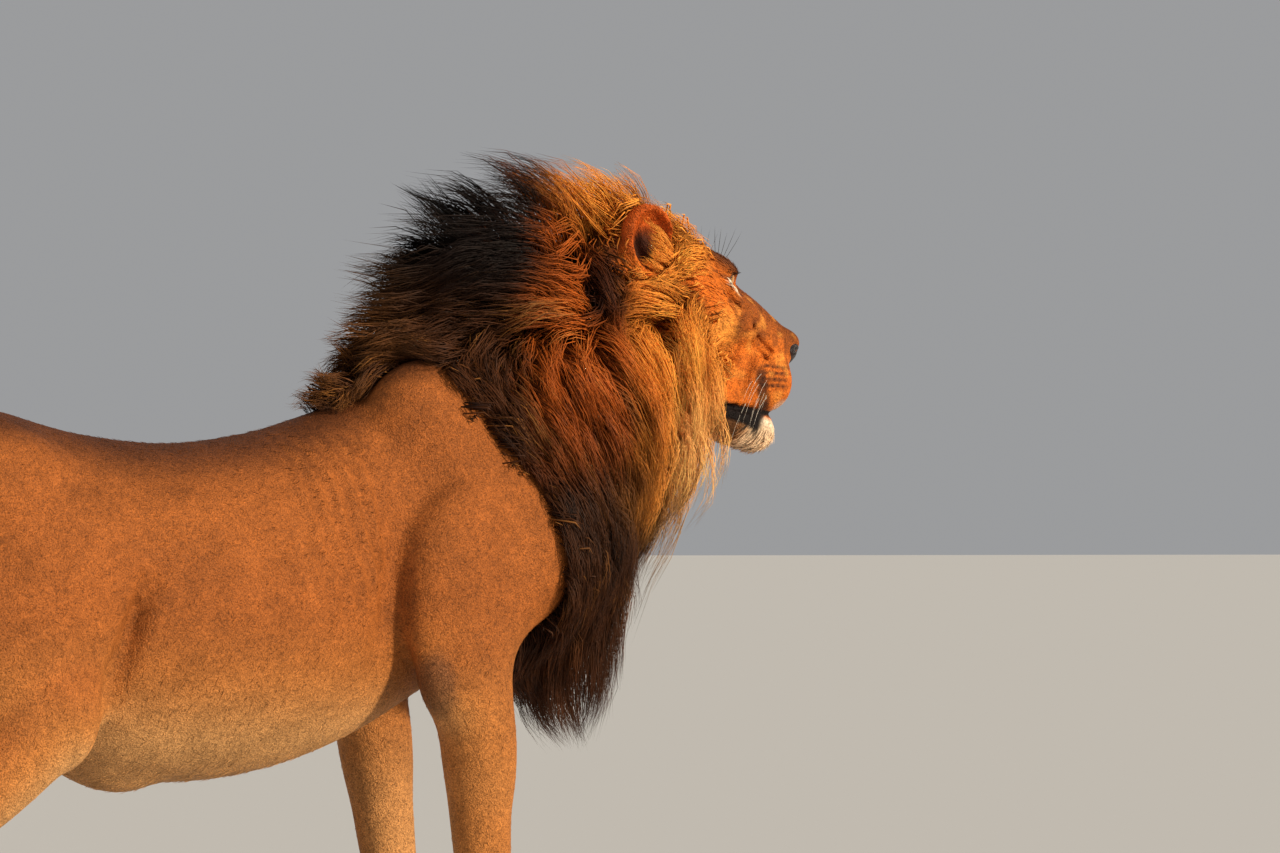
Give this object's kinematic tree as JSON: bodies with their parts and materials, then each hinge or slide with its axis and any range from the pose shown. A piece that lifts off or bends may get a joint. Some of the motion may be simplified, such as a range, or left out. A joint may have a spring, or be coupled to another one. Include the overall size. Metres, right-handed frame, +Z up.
{
  "type": "male lion",
  "caption": "Standing adult male lion with a dark full mane, head turned a little to its right, built whole as a still life-size model that rests on its four paws.",
  "frame": {"origin": "bottom centre of the box round the whole animal, on the floor", "axes": "+X the way the lion's body faces, +Y to its left, +Z up"},
  "size_m": [2.1294, 0.4714, 1.4829],
  "materials": {
    "coat": "short tawny fur, matt with a slight sheen",
    "mane": "long loose hair, dark brown with golden orange round the face",
    "nose_leather": "dark pebbled skin, slightly damp",
    "eye": "glossy amber with a round dark pupil"
  },
  "bodies": {
    "root": {"chest_mane": "mane", "ear_left": "coat", "ear_right": "coat", "eye_left": "eye", "eye_right": "eye", "face_ruff": "mane", "forearm_left": "coat", "forearm_right": "coat", "forepaw_left": "coat", "forepaw_right": "coat", "head": "coat", "hindfoot_left": "coat", "hindfoot_right": "coat", "hindpaw_left": "coat", "hindpaw_right": "coat", "loin_and_belly": "coat", "lower_jaw": "coat", "muzzle": "coat", "neck_mane": "mane", "nose": "nose_leather", "rump": "coat", "shank_left": "coat", "shank_right": "coat", "shoulder_left": "coat", "shoulder_right": "coat", "tail_base": "coat", "tail_end": "coat", "tail_middle": "coat", "tail_tuft": "mane", "thigh_left": "coat", "thigh_right": "coat", "thorax": "coat"}
  },
  "joints": []
}
